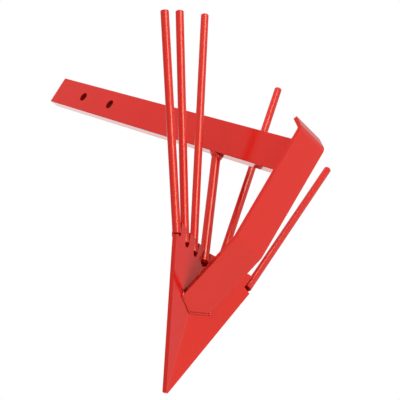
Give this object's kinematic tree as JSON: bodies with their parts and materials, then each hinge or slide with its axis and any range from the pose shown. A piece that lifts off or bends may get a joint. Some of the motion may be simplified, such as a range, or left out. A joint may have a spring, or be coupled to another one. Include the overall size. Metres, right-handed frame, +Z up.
{
  "type": "potato digger plough",
  "caption": "Welded potato digger plough: folded pointed share with round lifting fingers behind it, on an upright flat shank with bolt holes.",
  "frame": {"origin": "midway between the two bolt holes, in the middle plane of the shank", "axes": "+X the direction of travel, +Y the plough's left side and the axis of the bolt holes, +Z up along the shank"},
  "size_m": [0.4372, 0.3788, 0.5515],
  "materials": {
    "paint": "glossy"
  },
  "bodies": {
    "root": {"shank": "paint", "sole": "paint", "share": "paint", "finger_left_inner": "paint", "finger_left_middle": "paint", "finger_left_outer": "paint", "finger_right_inner": "paint", "finger_right_middle": "paint", "finger_right_outer": "paint", "brace": "paint", "weld_shank_foot": "paint", "weld_brace_top": "paint", "weld_brace_foot": "paint", "weld_left_inner": "paint", "weld_left_middle": "paint", "weld_left_outer": "paint", "weld_right_inner": "paint", "weld_right_middle": "paint", "weld_right_outer": "paint"}
  },
  "joints": []
}
